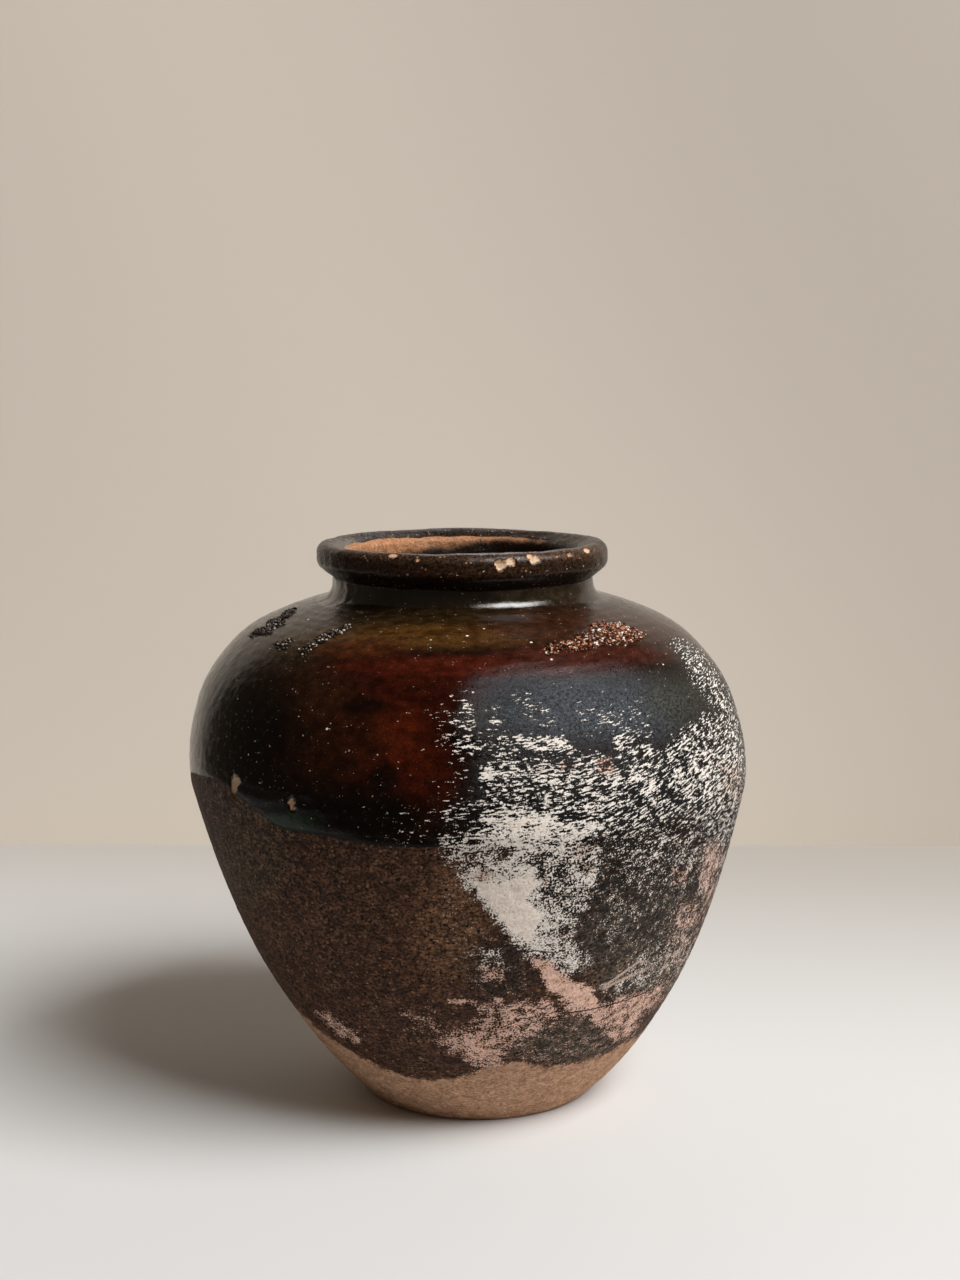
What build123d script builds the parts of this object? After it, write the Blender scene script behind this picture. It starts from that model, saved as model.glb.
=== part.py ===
from build123d import *

import math
import os

# A squat stoneware storage jar of the martaban kind: a narrow foot, a wide belly set high, a domed shoulder,
# a short neck and a heavy rolled rim. It is built as a potter builds it. A round slab is the floor. Two thrown
# walls are luted to each other at the belly, a collar is set on the shoulder, and a roll of clay is pressed on
# as the rim. Glaze runs over the rim, neck and shoulder down to the belly joint. A thin dark slip covers the
# wall below it and stops short of the foot, and kiln grit has fused onto the shoulder in three places.
#
# Millimetres, +Z up, the photographed front towards -Y. The origin is the centre of the flat foot.

# Overall form, from the floor up
HEIGHT = 292.0
FOOT_RADIUS = 60.0
FOOT_EDGE_RADIUS = 3.5
FOOT_FLARE = 45.0  # degrees that the wall rises at, where it leaves the foot
BELLY_RADIUS = 146.0
BELLY_HEIGHT_SHARE = 0.603  # of the whole height
SHOULDER_SLOPE = 15.0  # degrees that the shoulder rises at, where it meets the neck
SHOULDER_BLEND = 6.0  # length of the straight stretch between the shoulder's curve and the neck

# Rolled rim. Depths are measured down from the top.
RIM_RADIUS = 75.2
RIM_WIDTH = 16.7  # from the outside of the rim to the bore
RIM_DEPTH = 17.5
RIM_BAND_DEPTH = 10.5  # down to where the rim's outside turns under
RIM_CREST_INSET = 7.2  # how far the crest's inner edge lies inside the rim's outside
MOUTH_EDGE_DEPTH = 5.0
RIM_LOWER_EDGE_SHARE = 0.38  # of the band's depth
RIM_UPPER_EDGE_SHARE = 0.62  # of the crest's inset
RIM_CREST_EDGE_SHARE = 0.83  # of the crest's inset
MOUTH_EDGE_SHARE = 0.6  # of the mouth edge's depth

# Neck
RIM_OVERHANG = 6.4
NECK_DRAFT = 1.9  # how much the neck narrows on its way up to the rim
NECK_DEPTH = 27.7
NECK_FILLET_RADIUS = 3.0
RIM_GROOVE_RADIUS = 1.5
BORE_EDGE_RADIUS = 4.0

# Thickness of the fired clay
WALL_THICKNESS = 9.0
SLAB_THICKNESS = 13.0

# Joints between the thrown sections
BELLY_JOINT_DROP = 7.0  # how far the joint lies below the widest ring
BELLY_JOINT_BEVEL = 5.0  # how much lower the joint lies inside the wall than outside it
COLLAR_DEPTH = 30.0

# Coats over the clay
GLAZE_THICKNESS = 0.6
GLAZE_MOUTH_GAP = 3.5  # width of bare clay between the bore and the glaze
SLIP_THICKNESS = 0.4
SLIP_EDGE_HEIGHT = 31.0

# Kiln grit fused onto the shoulder. Each lump: degrees round from the front towards +X, its distance from the
# neck as a share of the shoulder's width, its length as a share of its ring's radius, its width as a share of
# the shoulder's width, and degrees that its length is turned from the ring round the axis.
GRIT_THICKNESS = 1.2
FRONT_LEFT_GRIT_SHARES = [(-39.0, 0.43, 0.33, 0.14, 58.0), (-51.5, 0.56, 0.11, 0.12, 40.0)]
FAR_LEFT_GRIT_SHARES = [(-70.0, 0.43, 0.3, 0.25, -55.0)]
FRONT_RIGHT_GRIT_SHARES = [(28.0, 0.51, 0.34, 0.14, 0.0), (45.0, 0.43, 0.46, 0.26, -4.0)]

# Heights and radii that follow from the sizes above
BELLY_HEIGHT = BELLY_HEIGHT_SHARE * HEIGHT
BELLY_JOINT_HEIGHT = BELLY_HEIGHT - BELLY_JOINT_DROP
COLLAR_JOINT_HEIGHT = HEIGHT - COLLAR_DEPTH
NECK_BASE_HEIGHT = HEIGHT - NECK_DEPTH
RIM_JOINT_HEIGHT = HEIGHT - RIM_DEPTH
RIM_UNDERSIDE_HEIGHT = HEIGHT - RIM_BAND_DEPTH
MOUTH_EDGE_HEIGHT = HEIGHT - MOUTH_EDGE_DEPTH
NECK_RADIUS = RIM_RADIUS - RIM_OVERHANG
NECK_WAIST_RADIUS = NECK_RADIUS - NECK_DRAFT
RIM_CREST_RADIUS = RIM_RADIUS - RIM_CREST_INSET
MOUTH_RADIUS = RIM_RADIUS - RIM_WIDTH
SHOULDER_WIDTH = BELLY_RADIUS - NECK_RADIUS

# Cuts run this far past what they cut
OVERRUN = 5.0

# The wall's curve, as shares of the rise and of the run from one end of each stretch to the other
LOWER_WALL_SHARES = [(0.13, 0.25), (0.25, 0.425), (0.42, 0.63), (0.6, 0.785), (0.77, 0.898), (0.9, 0.968)]
UPPER_WALL_SHARES = [(0.17, 0.014), (0.33, 0.058), (0.5, 0.132), (0.67, 0.27), (0.81, 0.446), (0.915, 0.69)]

# Where a line beside a curve is measured off, as shares of the curve's length
BESIDE_SHARES = [0.0, 0.13, 0.27, 0.4, 0.53, 0.66, 0.78, 0.89, 1.0]

# A grit lump's ragged outline, as shares of its half length and half width at even steps round it
GRIT_OUTLINE_SHARES = [1.0, 0.82, 0.98, 0.86, 1.0, 0.78, 0.94, 1.0, 0.8, 0.97, 0.84, 0.92]


def between(start, end, shares):
    """Points on the way from start to end, placed by shares of the rise and of the run."""
    return [start + Vector(across * (end.X - start.X), up * (end.Y - start.Y)) for up, across in shares]


def beside(curve, distance):
    """The line at a set distance to the left of a curve."""
    points = [curve @ share + (curve % share).rotate(Axis.Z, 90) * distance for share in BESIDE_SHARES]
    return Spline(*points, tangents=[curve % 0, curve % 1])


def foot_edge():
    """The small round edge between the flat foot and the wall."""
    return JernArc((FOOT_RADIUS, 0), (1, 0), FOOT_EDGE_RADIUS, FOOT_FLARE)


def shoulder_end():
    """Where the shoulder's curve hands over to the straight blend before the neck."""
    blend = Vector(SHOULDER_BLEND, 0).rotate(Axis.Z, -SHOULDER_SLOPE)
    return Vector(NECK_RADIUS, NECK_BASE_HEIGHT) + blend


def wall_curves():
    """The wall's outer line from foot to shoulder: two curves that meet upright at the belly."""
    edge = foot_edge()
    foot = edge @ 1
    belly = Vector(BELLY_RADIUS, BELLY_HEIGHT)
    neck = shoulder_end()
    upright = Vector(0, 1)
    inward = Vector(-1, 0).rotate(Axis.Z, -SHOULDER_SLOPE)
    lower = Spline(foot, *between(foot, belly, LOWER_WALL_SHARES), belly, tangents=[edge % 1, upright])
    upper = Spline(belly, *between(belly, neck, UPPER_WALL_SHARES), neck, tangents=[upright, inward])
    return lower, upper


def rim_line():
    """The line over the neck and the rolled rim, from the shoulder to the mouth's edge and down the bore."""
    corners = [
        (NECK_RADIUS, NECK_BASE_HEIGHT),
        (NECK_WAIST_RADIUS, RIM_JOINT_HEIGHT),
        (RIM_RADIUS, RIM_UNDERSIDE_HEIGHT),
        (RIM_RADIUS, HEIGHT),
        (RIM_CREST_RADIUS, HEIGHT),
        (MOUTH_RADIUS, MOUTH_EDGE_HEIGHT),
    ]
    radii = [
        NECK_FILLET_RADIUS,
        RIM_GROOVE_RADIUS,
        RIM_LOWER_EDGE_SHARE * RIM_BAND_DEPTH,
        RIM_UPPER_EDGE_SHARE * RIM_CREST_INSET,
        RIM_CREST_EDGE_SHARE * RIM_CREST_INSET,
        MOUTH_EDGE_SHARE * MOUTH_EDGE_DEPTH,
    ]
    return FilletPolyline(shoulder_end(), *corners, (MOUTH_RADIUS, RIM_JOINT_HEIGHT), radius=radii)


def bore_line(inner_end):
    """The line from the inside of the shoulder round its edge and up the bore of the neck."""
    rise = (inner_end.X - MOUTH_RADIUS) * math.tan(math.radians(SHOULDER_SLOPE))
    corner = (MOUTH_RADIUS, inner_end.Y + rise)
    return FilletPolyline(inner_end, corner, (MOUTH_RADIUS, RIM_JOINT_HEIGHT), radius=BORE_EDGE_RADIUS)


def band(low, high, inner=0.0):
    """Everything between two heights in the section, from a radius outwards."""
    outer = BELLY_RADIUS + WALL_THICKNESS + OVERRUN
    return Pos(inner, low) * Rectangle(outer - inner, high - low, align=(Align.MIN, Align.MIN))


def filled_section(growth=0.0):
    """The jar's cross-section, as if it were solid below the rim, bare or grown by a coat."""
    lower, upper = wall_curves()
    rim = rim_line()
    if growth:
        lower, upper = beside(lower, -growth), beside(upper, -growth)
        rim = offset(rim, amount=growth, side=Side.RIGHT, closed=False)
    top, bottom = (MOUTH_RADIUS - growth, RIM_JOINT_HEIGHT), lower @ 0
    axis_line = Polyline(top, (0, RIM_JOINT_HEIGHT), (0, bottom.Y), bottom)
    return make_face([axis_line, lower, upper, rim])


def hollow_section():
    """The cross-section of the space inside the jar, above its floor."""
    lower, upper = [beside(curve, WALL_THICKNESS) for curve in wall_curves()]
    bore = bore_line(upper @ 1)
    start = lower @ 0
    axis_line = Polyline((MOUTH_RADIUS, RIM_JOINT_HEIGHT), (0, RIM_JOINT_HEIGHT), (0, start.Y), start)
    return make_face([axis_line, lower, upper, bore]) & band(SLAB_THICKNESS, RIM_JOINT_HEIGHT)


def above_belly_joint():
    """Everything above the bevelled joint between the two thrown walls."""
    inner_height = BELLY_JOINT_HEIGHT - BELLY_JOINT_BEVEL
    outer = BELLY_RADIUS + WALL_THICKNESS + OVERRUN
    corners = [
        (0, inner_height),
        (BELLY_RADIUS - WALL_THICKNESS, inner_height),
        (BELLY_RADIUS, BELLY_JOINT_HEIGHT),
        (outer, BELLY_JOINT_HEIGHT),
        (outer, HEIGHT + OVERRUN),
        (0, HEIGHT + OVERRUN),
    ]
    return Polygon(*corners, align=None)


def turned(section):
    """The solid that a cross-section makes when it turns about the jar's axis."""
    return revolve(Plane.XZ * section, Axis.Z)


def grit_lump(around, distance_share, length_share, width_share, turn):
    """An upright prism with one grit lump's ragged outline, over its place on the shoulder."""
    distance = NECK_RADIUS + distance_share * SHOULDER_WIDTH
    half_length = length_share * distance / 2
    half_width = width_share * SHOULDER_WIDTH / 2
    count = len(GRIT_OUTLINE_SHARES)
    points = []
    for step, share in enumerate(GRIT_OUTLINE_SHARES):
        angle = math.tau * step / count
        points.append((share * half_length * math.cos(angle), share * half_width * math.sin(angle)))
    angle = math.radians(around)
    spot = Pos(distance * math.sin(angle), -distance * math.cos(angle), BELLY_HEIGHT)
    outline = make_face(Spline(*points, periodic=True))
    return spot * Rot(0, 0, around + turn) * extrude(outline, HEIGHT - BELLY_HEIGHT)


def grit(lumps, layer):
    """One patch of kiln grit: the lumps' outlines cut from the layer that lies on the glaze."""
    prisms = Part() + [grit_lump(*lump) for lump in lumps]
    return layer & prisms


def clay_section():
    """The fired clay's cross-section, with the hollow taken out."""
    edge = foot_edge()
    foot = make_face([Polyline(edge @ 1, (0, (edge @ 1).Y), (0, 0), (FOOT_RADIUS, 0)), edge])
    return filled_section() + foot - hollow_section()


def clay_nodes():
    """The floor slab, the two thrown walls, the collar and the rim."""
    clay = clay_section()
    above = above_belly_joint()
    return {
        "base_slab": turned(clay & band(0, SLAB_THICKNESS)),
        "lower_wall": turned((clay & band(SLAB_THICKNESS, BELLY_HEIGHT)) - above),
        "upper_wall": turned(clay & above & band(0, COLLAR_JOINT_HEIGHT)),
        "neck_collar": turned(clay & band(COLLAR_JOINT_HEIGHT, RIM_JOINT_HEIGHT)),
        "rim_roll": turned(clay & band(RIM_JOINT_HEIGHT, HEIGHT + OVERRUN)),
    }


def coat_nodes():
    """The glaze above the belly joint and the slip below it."""
    bare = filled_section()
    glaze = filled_section(GLAZE_THICKNESS) - bare
    slip = filled_section(SLIP_THICKNESS) - bare
    glazed_band = band(BELLY_JOINT_HEIGHT, HEIGHT + OVERRUN, MOUTH_RADIUS + GLAZE_MOUTH_GAP)
    return {
        "glaze_coat": turned(glaze & glazed_band),
        "slip_coat": turned(slip & band(SLIP_EDGE_HEIGHT, BELLY_JOINT_HEIGHT)),
    }


def grit_nodes():
    """The three patches of kiln grit that lie on the glaze."""
    on_glaze = filled_section(GLAZE_THICKNESS + GRIT_THICKNESS) - filled_section(GLAZE_THICKNESS)
    layer = turned(on_glaze & band(BELLY_HEIGHT, COLLAR_JOINT_HEIGHT))
    return {
        "kiln_grit_front_left": grit(FRONT_LEFT_GRIT_SHARES, layer),
        "kiln_grit_far_left": grit(FAR_LEFT_GRIT_SHARES, layer),
        "kiln_grit_front_right": grit(FRONT_RIGHT_GRIT_SHARES, layer),
    }


def main():
    """Writes each piece to its own file."""
    os.makedirs("parts", exist_ok=True)
    nodes = {**clay_nodes(), **coat_nodes(), **grit_nodes()}
    for name, shape in nodes.items():
        export_step(shape, f"parts/{name}.step")
        print(name, len(shape.solids()), round(shape.volume), shape.is_valid)


main()
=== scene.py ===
import math
from itertools import combinations, product

import bpy
import numpy as np
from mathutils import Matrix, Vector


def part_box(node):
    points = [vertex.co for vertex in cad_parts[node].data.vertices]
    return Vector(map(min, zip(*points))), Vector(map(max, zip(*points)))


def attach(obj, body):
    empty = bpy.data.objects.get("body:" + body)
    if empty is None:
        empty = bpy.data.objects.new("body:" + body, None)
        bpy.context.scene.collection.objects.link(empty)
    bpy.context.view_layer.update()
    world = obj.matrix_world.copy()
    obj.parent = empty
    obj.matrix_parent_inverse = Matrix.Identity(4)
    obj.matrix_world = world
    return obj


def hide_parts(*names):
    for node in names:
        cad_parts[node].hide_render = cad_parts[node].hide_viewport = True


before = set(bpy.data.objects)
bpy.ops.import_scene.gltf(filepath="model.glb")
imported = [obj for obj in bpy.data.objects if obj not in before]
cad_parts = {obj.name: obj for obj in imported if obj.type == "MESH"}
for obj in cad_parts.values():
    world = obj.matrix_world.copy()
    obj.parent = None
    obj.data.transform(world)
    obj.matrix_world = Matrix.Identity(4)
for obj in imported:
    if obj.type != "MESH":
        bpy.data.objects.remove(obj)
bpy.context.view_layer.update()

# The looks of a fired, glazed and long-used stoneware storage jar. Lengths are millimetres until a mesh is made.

MM = 0.001


def node_box(node):
    """The lowest and highest corner of a node, in millimetres."""
    return [np.array(corner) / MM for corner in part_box(node)]


# Sizes from the frame
_, slab_high = node_box("base_slab")
_, lower_high = node_box("lower_wall")
upper_low, upper_high = node_box("upper_wall")
collar_low, _ = node_box("neck_collar")
rim_low, rim_high = node_box("rim_roll")
HEIGHT = rim_high[2]
RIM_RADIUS = rim_high[0]
BELLY_RADIUS = upper_high[0]
SLAB_TOP = slab_high[2]
BELLY_JOINT = lower_high[2]
BELLY_JOINT_INSIDE = upper_low[2]
COLLAR_JOINT = collar_low[2]
RIM_JOINT = rim_low[2]

# Sizes that the boxes don't give, as the solids have them
FOOT_RADIUS = 60.0
FOOT_EDGE = 3.5
FOOT_FLARE = math.radians(45.0)
BELLY_HEIGHT = 0.603 * HEIGHT
NECK_RADIUS = 68.8
NECK_BASE = 264.3
NECK_WAIST = 66.9
SHOULDER_SLOPE = math.radians(15.0)
SHOULDER_BLEND = 6.0
RIM_UNDERSIDE = 281.5
RIM_CREST = 68.0
MOUTH_RADIUS = 58.5
MOUTH_EDGE = 287.0
WALL = 9.0
BORE_EDGE = 4.0
LOWER_WALL_SHARES = [(0.13, 0.25), (0.25, 0.425), (0.42, 0.63), (0.6, 0.785), (0.77, 0.898), (0.9, 0.968)]
UPPER_WALL_SHARES = [(0.17, 0.014), (0.33, 0.058), (0.5, 0.132), (0.67, 0.27), (0.81, 0.446), (0.915, 0.69)]
# The corners from the neck's foot over the crest to the bore. The first is rounder than the solids have it.
RIM_CORNER_RADII = [7.6, 1.5, 4.0, 4.5, 6.0, 3.0]

# The fired jar leans: its level rings drift towards -X as it rises, and the belly stays over the origin
LEAN = 9.2

# The photograph's camera, from a fit to the rim, the foot and the silhouette
PHOTO_WIDTH = 960.0
PHOTO_HEIGHT = 1280.0
FOCAL_PIXELS = 1922.0
CAMERA_PITCH = math.radians(8.58)
CAMERA_PLACE = (6.0, -1000.0, 390.7)
WALL_BEHIND = 490.0
JAR_MIDDLE = 469.0  # the photograph's column

# Mesh fineness: columns round the jar and the row spacing of each stretch of the section
COLUMNS = 600
SPACING = {"underside": 6.0, "foot": 1.36, "lower": 1.36, "upper": 1.36, "neck": 0.9, "rim": 0.8, "bore": 2.7,
           "upper_inside": 4.5, "lower_inside": 9.0}
ANGLES = np.linspace(0, 2 * math.pi, COLUMNS, endpoint=False)


def smoothstep(low, high, value):
    """0 below low, 1 above high and a soft step between them."""
    share = np.clip((value - low) / (high - low), 0, 1)
    return share * share * (3 - 2 * share)


def lattice(place, seed):
    """A steady pseudo-random number from 0 to 1 for each lattice point."""
    mixed = (place @ np.array([374761393, 668265263, 2147483647]) + seed * 1274126177) & 0xFFFFFFFF
    mixed = ((mixed ^ (mixed >> 13)) * 1103515245) & 0xFFFFFFFF
    mixed = ((mixed ^ (mixed >> 16)) * 1540483477) & 0xFFFFFFFF
    return ((mixed ^ (mixed >> 15)) & 0xFFFF) / 65535.0


def noise(points, cell, seed=0, octaves=1):
    """Smooth noise from -1 to 1 with features about one cell across."""
    total, weights = np.zeros(points.shape[:-1]), 0.0
    for octave in range(octaves):
        scaled = points / (cell / 2**octave) + 17.3 * octave
        base = np.floor(scaled).astype(np.int64)
        part = scaled - base
        part = part * part * (3 - 2 * part)
        value = 0.0
        for corner in product((0, 1), repeat=3):
            x, y, z = (part[..., i] if corner[i] else 1 - part[..., i] for i in range(3))
            value = value + x * y * z * lattice(base + corner, seed + octave)
        total += 0.5**octave * (2 * value - 1)
        weights += 0.5**octave
    return total / weights


def unit(vectors):
    """Vectors at a length of 1."""
    return vectors / np.linalg.norm(vectors, axis=-1, keepdims=True)


def run_along(curve):
    """The way along a line to each of its points."""
    return np.concatenate([[0], np.cumsum(np.linalg.norm(np.diff(curve, axis=0), axis=1))])


def spline(points, start_slope, end_slope, steps=40):
    """A smooth curve through points, clamped to a direction at each end."""
    points = np.array(points, float)
    count, gaps = len(points), np.diff(run_along(points))
    matrix, right = np.zeros((count, count)), np.zeros((count, 2))
    matrix[0, 0] = matrix[-1, -1] = 1
    right[0], right[-1] = start_slope, end_slope
    for i in range(1, count - 1):
        before, after = gaps[i - 1], gaps[i]
        matrix[i, i - 1 : i + 2] = after, 2 * (before + after), before
        rise = (points[i] - points[i - 1]) / before * after + (points[i + 1] - points[i]) / after * before
        right[i] = 3 * rise
    slopes = np.linalg.solve(matrix, right)
    t = np.linspace(0, 1, steps, endpoint=False)[:, None]
    pieces = [
        (2 * t**3 - 3 * t**2 + 1) * points[i]
        + (t**3 - 2 * t**2 + t) * gap * slopes[i]
        + (3 * t**2 - 2 * t**3) * points[i + 1]
        + (t**3 - t**2) * gap * slopes[i + 1]
        for i, gap in enumerate(gaps)
    ]
    return np.concatenate(pieces + [points[-1:]])


def rounded(points, radii, steps=12):
    """A line through corners, each rounded by its radius."""
    points = [np.array(point, float) for point in points]
    result = [points[0]]
    for before, corner, after, radius in zip(points, points[1:], points[2:], radii):
        back, ahead = unit(before - corner), unit(after - corner)
        half = math.acos(float(np.clip(back @ ahead, -1, 1))) / 2
        centre = corner + unit(back + ahead) * radius / math.sin(half)
        start, end = (corner + way * radius / math.tan(half) - centre for way in (back, ahead))
        first, last = math.atan2(start[1], start[0]), math.atan2(end[1], end[0])
        turn = (last - first + math.pi) % (2 * math.pi) - math.pi
        for step in range(steps + 1):
            angle = first + turn * step / steps
            result.append(centre + radius * np.array([math.cos(angle), math.sin(angle)]))
    return np.array(result + [points[-1]])


def between(start, end, shares):
    """Points on the way from start to end, placed by shares of the rise and of the run."""
    run, rise = end[0] - start[0], end[1] - start[1]
    return [(start[0] + across * run, start[1] + up * rise) for up, across in shares]


def beside(curve, distance):
    """The line at a set distance to the left of a curve."""
    ahead = unit(np.gradient(curve, axis=0))
    return curve + distance * np.stack([-ahead[:, 1], ahead[:, 0]], axis=1)


def cut(curve, low, high):
    """The stretch of a rising or falling curve between two heights, with its ends at those heights."""
    rising = curve[-1, 1] > curve[0, 1]
    curve = curve if rising else curve[::-1]
    heights = curve[:, 1]
    ends = [(np.interp(level, heights, curve[:, 0]), level) for level in (low, high)]
    stretch = np.concatenate([ends[:1], curve[(heights > low) & (heights < high)], ends[1:]])
    return stretch if rising else stretch[::-1]


def resampled(curve, step):
    """The same line at an even step."""
    run = run_along(curve)
    at = np.linspace(0, run[-1], max(2, int(round(run[-1] / step)) + 1))
    return np.stack([np.interp(at, run, curve[:, 0]), np.interp(at, run, curve[:, 1])], axis=1)


def section():
    """The jar's section as stretches from the middle of the underside over the rim to the floor inside."""
    angle = np.linspace(0, FOOT_FLARE, 8)
    edge = np.stack([FOOT_RADIUS + FOOT_EDGE * np.sin(angle), FOOT_EDGE * (1 - np.cos(angle))], axis=1)
    slope = np.array([-math.cos(SHOULDER_SLOPE), math.sin(SHOULDER_SLOPE)])
    shoulder = np.array([NECK_RADIUS, NECK_BASE]) - SHOULDER_BLEND * slope
    belly = (BELLY_RADIUS, BELLY_HEIGHT)
    flare = (math.cos(FOOT_FLARE), math.sin(FOOT_FLARE))
    lower = spline([edge[-1], *between(edge[-1], belly, LOWER_WALL_SHARES), belly], flare, (0, 1))
    upper = spline([belly, *between(belly, shoulder, UPPER_WALL_SHARES), shoulder], (0, 1), slope)
    inner_lower, inner_upper = beside(lower, WALL), beside(upper, WALL)
    corners = [shoulder, (NECK_RADIUS, NECK_BASE), (NECK_WAIST, RIM_JOINT), (RIM_RADIUS, RIM_UNDERSIDE),
               (RIM_RADIUS, HEIGHT), (RIM_CREST, HEIGHT), (MOUTH_RADIUS, MOUTH_EDGE), (MOUTH_RADIUS, RIM_JOINT)]
    over = rounded(corners, RIM_CORNER_RADII)
    crest = int(np.argmax(over[:, 1]))
    outer = np.concatenate([edge, lower[1:], upper[1:], over[1 : crest + 1]])
    top = inner_upper[-1]
    bore_corner = (MOUTH_RADIUS, top[1] + (top[0] - MOUTH_RADIUS) * math.tan(SHOULDER_SLOPE))
    bore = rounded([(MOUTH_RADIUS, RIM_JOINT), bore_corner, top], [BORE_EDGE])
    inner = np.concatenate([over[crest:], bore[1:], inner_upper[-2::-1], inner_lower[-2::-1]])
    inner = inner[inner[:, 1] >= inner[-1, 1]]
    lines = {
        "underside": np.array([(2.0, 0.0), (FOOT_RADIUS, 0.0)]),
        "foot": cut(outer, 0, SLAB_TOP),
        "lower": cut(outer, SLAB_TOP, BELLY_JOINT),
        "upper": cut(outer, BELLY_JOINT, COLLAR_JOINT),
        "neck": cut(outer, COLLAR_JOINT, RIM_JOINT),
        "rim": np.concatenate([cut(outer, RIM_JOINT, HEIGHT), cut(inner, RIM_JOINT, HEIGHT)[1:]]),
        "bore": cut(inner, COLLAR_JOINT, RIM_JOINT),
        "upper_inside": cut(inner, BELLY_JOINT_INSIDE, COLLAR_JOINT),
        "lower_inside": cut(inner, SLAB_TOP, BELLY_JOINT_INSIDE),
    }
    return {name: resampled(line, SPACING[name]) for name, line in lines.items()}


def lean(heights):
    """How far towards +X each level ring's centre lies."""
    slope = LEAN / (HEIGHT - SLAB_TOP)
    return slope * (BELLY_HEIGHT - np.maximum(heights, SLAB_TOP))


def photo_pixels(points):
    """Where the photograph shows points in millimetres, as pixel columns and rows."""
    across, away, up = (points[..., i] - CAMERA_PLACE[i] for i in range(3))
    cosine, sine = math.cos(CAMERA_PITCH), math.sin(CAMERA_PITCH)
    depth = away * cosine - up * sine
    rise = up * cosine + away * sine
    return PHOTO_WIDTH / 2 + FOCAL_PIXELS * across / depth, PHOTO_HEIGHT / 2 - FOCAL_PIXELS * rise / depth


# Marks on the surface, at pixel places of the photograph. Each soft spot: column, row, half width, half height,
# linear colour in thousandths, and strength. The back of the jar, which the photograph doesn't show, carries the
# front's marks mirrored, strayed and faded.
GLAZE_DARK = (4.5, 1.8, 1)
GLAZE_SPOTS = [
    (440, 622, 200, 16, (20, 11, 4), 0.9),
    (300, 628, 80, 24, (17, 11, 6), 0.8),
    (420, 638, 130, 13, (62, 26, 6), 0.85),
    (355, 650, 50, 10, (60, 14, 3), 0.7),
    (600, 628, 110, 20, (36, 12, 6), 0.85),
    (400, 690, 110, 34, (24, 3, 1), 0.85),
    (480, 668, 150, 10, (58, 8, 3), 0.75),
    (395, 745, 62, 46, (29, 3.4, 0.9), 0.85),
    (398, 738, 24, 30, (64, 9, 1.8), 0.65),
    (430, 780, 30, 44, (42, 5, 1), 0.6),
    (330, 740, 56, 50, (22, 5.5, 1.8), 0.75),
    (305, 692, 56, 26, (20, 7, 2.6), 0.7),
    (590, 655, 90, 11, (50, 12, 7), 0.8),
    (385, 778, 16, 15, (2, 1, 0.5), 0.8),
    (365, 706, 24, 10, (3, 1, 0.5), 0.8),
    (330, 812, 120, 18, (2, 1, 0.5), 0.8),
    (250, 720, 46, 60, (3, 1.5, 1), 0.8),
    (290, 822, 30, 10, (4, 18, 3), 0.9),
    (205, 700, 22, 90, (16, 11, 7), 0.7),
    (262, 636, 60, 34, (34, 21, 11), 0.8),
    (352, 594, 24, 14, (26, 17, 9), 0.8),
    (545, 592, 60, 13, (30, 20, 10), 0.8),
    (440, 598, 60, 9, (12, 8, 4), 0.7),
]
# The satin zone's colours; its bluish spots are partly the glaze's colour and partly a painted reflection of the
# light
SATIN_AND_SHEEN_SPOTS = [
    (600, 705, 120, 40, (19, 23, 29), 0.95),
    (500, 700, 46, 30, (12, 14, 18), 0.8),
    (690, 690, 50, 40, (18, 18, 12), 0.8),
    (600, 790, 150, 50, (5, 4, 4), 0.9),
    (720, 760, 40, 90, (12, 10, 9), 0.8),
]
SLIP_DARK = (45, 21, 12)
SLIP_SPOTS = [
    (330, 900, 110, 60, (60, 30, 17), 0.7),
    (250, 850, 40, 60, (58, 38, 22), 0.7),
    (430, 940, 70, 70, (60, 27, 14), 0.7),
    (450, 925, 34, 56, (105, 55, 30), 0.7),
    (620, 880, 110, 60, (13, 10, 8), 0.9),
    (650, 940, 90, 50, (36, 28, 22), 0.9),
    (560, 1040, 60, 24, (50, 38, 28), 0.9),
    (500, 970, 36, 34, (22, 16, 12), 0.7),
    (650, 975, 50, 26, (62, 47, 32), 0.8),
]
# The glaze's lower edge and the slip's lower edge, as columns and rows by turns from left to right
GLAZE_EDGE = [190, 772, 222, 780, 240, 797, 259, 811, 280, 827, 300, 832, 330, 836, 360, 843, 400, 847, 444, 847,
              500, 842, 560, 838, 640, 826, 700, 806, 745, 780]
SLIP_EDGE = [250, 955, 285, 1000, 318, 1030, 340, 1046, 360, 1058, 380, 1068, 405, 1077, 430, 1081, 455, 1080,
             476, 1074, 494, 1064, 520, 1064, 545, 1068, 570, 1065, 590, 1060, 612, 1052, 632, 1040, 650, 1026,
             680, 985, 700, 950]
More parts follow.
